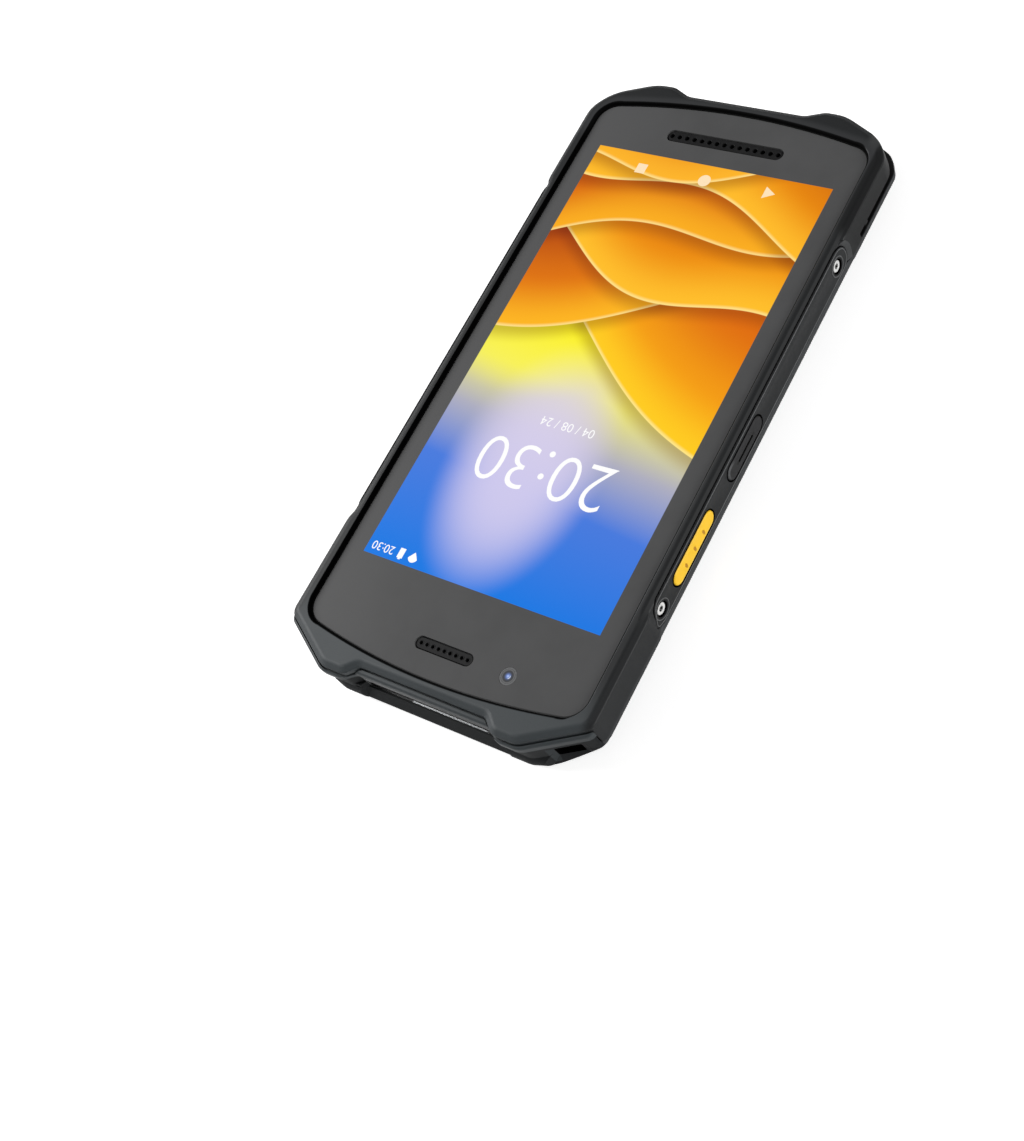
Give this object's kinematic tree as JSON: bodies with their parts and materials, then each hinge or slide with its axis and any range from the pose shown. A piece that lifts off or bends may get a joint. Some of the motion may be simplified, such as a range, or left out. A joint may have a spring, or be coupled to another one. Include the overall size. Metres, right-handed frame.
{
  "type": "portable barcode data terminal",
  "caption": "Rugged handheld touch terminal with raised corner bumpers, side scan triggers, a scan window in one end and a latched battery pack in the back.",
  "frame": {"origin": "middle of the flat back face, on the object's mid-plane", "axes": "+Z out of the screen, +Y towards the scan window end, +X to the right as one reads the screen"},
  "size_m": [0.079, 0.1582, 0.0137],
  "materials": {
    "bumper_plastic": "fine-grained moulded plastic",
    "housing_plastic": "fine-grained moulded plastic",
    "strip_plastic": "smooth matte plastic",
    "trigger_yellow": "smooth coloured plastic",
    "key_rubber": "matte silicone",
    "bright_steel": "bright zinc-plated steel",
    "flex_film": "polyimide film",
    "switch_metal": "stamped steel",
    "cover_glass": "clear glass with a dark printed border",
    "screen": "lit colour display",
    "black_foam": "closed-cell foam",
    "dark_metal": "black coated metal",
    "dark_plastic": "black moulded plastic",
    "lens_glass": "coated lens glass",
    "window_glass": "dark tinted glass",
    "magnesium": "die-cast light alloy",
    "satin_metal": "satin stamped steel",
    "board_green": "solder-masked laminate",
    "gold_contact": "gold-plated contact",
    "flash_lens": "frosted clear lens"
  },
  "bodies": {
    "terminal": {"front_bumper": "bumper_plastic", "scan_end_cap": "bumper_plastic", "rear_housing": "housing_plastic", "left_key_strip": "strip_plastic", "right_key_strip": "strip_plastic", "key_strip_screws": "bright_steel", "left_key_flex": "flex_film", "right_key_flex": "flex_film", "left_key_switches": "switch_metal", "right_key_switches": "switch_metal", "touch_glass": "cover_glass", "glass_adhesive": "black_foam", "display_panel": "screen", "display_foam": "black_foam", "earpiece_grille": "dark_metal", "speaker_grille": "dark_metal", "front_camera": "dark_plastic", "front_camera_lens": "lens_glass", "chassis": "magnesium", "earpiece_receiver": "dark_metal", "loudspeaker": "dark_plastic", "scan_window": "window_glass", "scan_window_frame": "satin_metal", "scan_engine": "dark_metal", "main_board": "board_green", "board_spacers": "bright_steel", "board_screws": "bright_steel", "board_shields": "satin_metal", "card_holder": "satin_metal", "battery_connector": "dark_plastic", "io_board": "board_green", "usb_connector": "satin_metal", "vibration_motor": "satin_metal", "rear_camera": "dark_plastic", "rear_camera_window": "lens_glass", "flash_window": "flash_lens", "rear_contacts": "gold_contact", "housing_screws": "dark_metal", "battery_pack": "housing_plastic"},
    "left_trigger": {"left_scan_trigger": "trigger_yellow"},
    "right_trigger": {"right_scan_trigger": "trigger_yellow"},
    "function_button": {"function_key": "key_rubber"},
    "volume_button": {"volume_rocker": "key_rubber"},
    "power_button": {"power_key": "key_rubber"},
    "right_latch": {"right_battery_latch": "strip_plastic"},
    "left_latch": {"left_battery_latch": "strip_plastic"}
  },
  "joints": [
    {"name": "left_trigger_press", "type": "slide", "parent": "terminal", "child": "left_trigger", "axis": [1, 0, 0], "range_m": [0, 0.0004], "stiffness_N_per_m": 3000},
    {"name": "right_trigger_press", "type": "slide", "parent": "terminal", "child": "right_trigger", "axis": [-1, 0, 0], "range_m": [0, 0.0004], "stiffness_N_per_m": 3000},
    {"name": "function_press", "type": "slide", "parent": "terminal", "child": "function_button", "axis": [1, 0, 0], "range_m": [0, 0.0004], "stiffness_N_per_m": 3000},
    {"name": "volume_rock", "type": "hinge", "parent": "terminal", "child": "volume_button", "pos_m": [0.0369, 0.002, 0.0094], "axis": [0, 0, 1], "range_deg": [-1.5, 1.5], "stiffness_Nm_per_rad": 0.5},
    {"name": "power_press", "type": "slide", "parent": "terminal", "child": "power_button", "axis": [-1, 0, 0], "range_m": [0, 0.0004], "stiffness_N_per_m": 3000},
    {"name": "right_latch_slide", "type": "slide", "parent": "terminal", "child": "right_latch", "axis": [-1, 0, 0], "range_m": [0, 0.0015], "stiffness_N_per_m": 400},
    {"name": "left_latch_slide", "type": "slide", "parent": "terminal", "child": "left_latch", "axis": [1, 0, 0], "range_m": [0, 0.0015], "stiffness_N_per_m": 400}
  ]
}
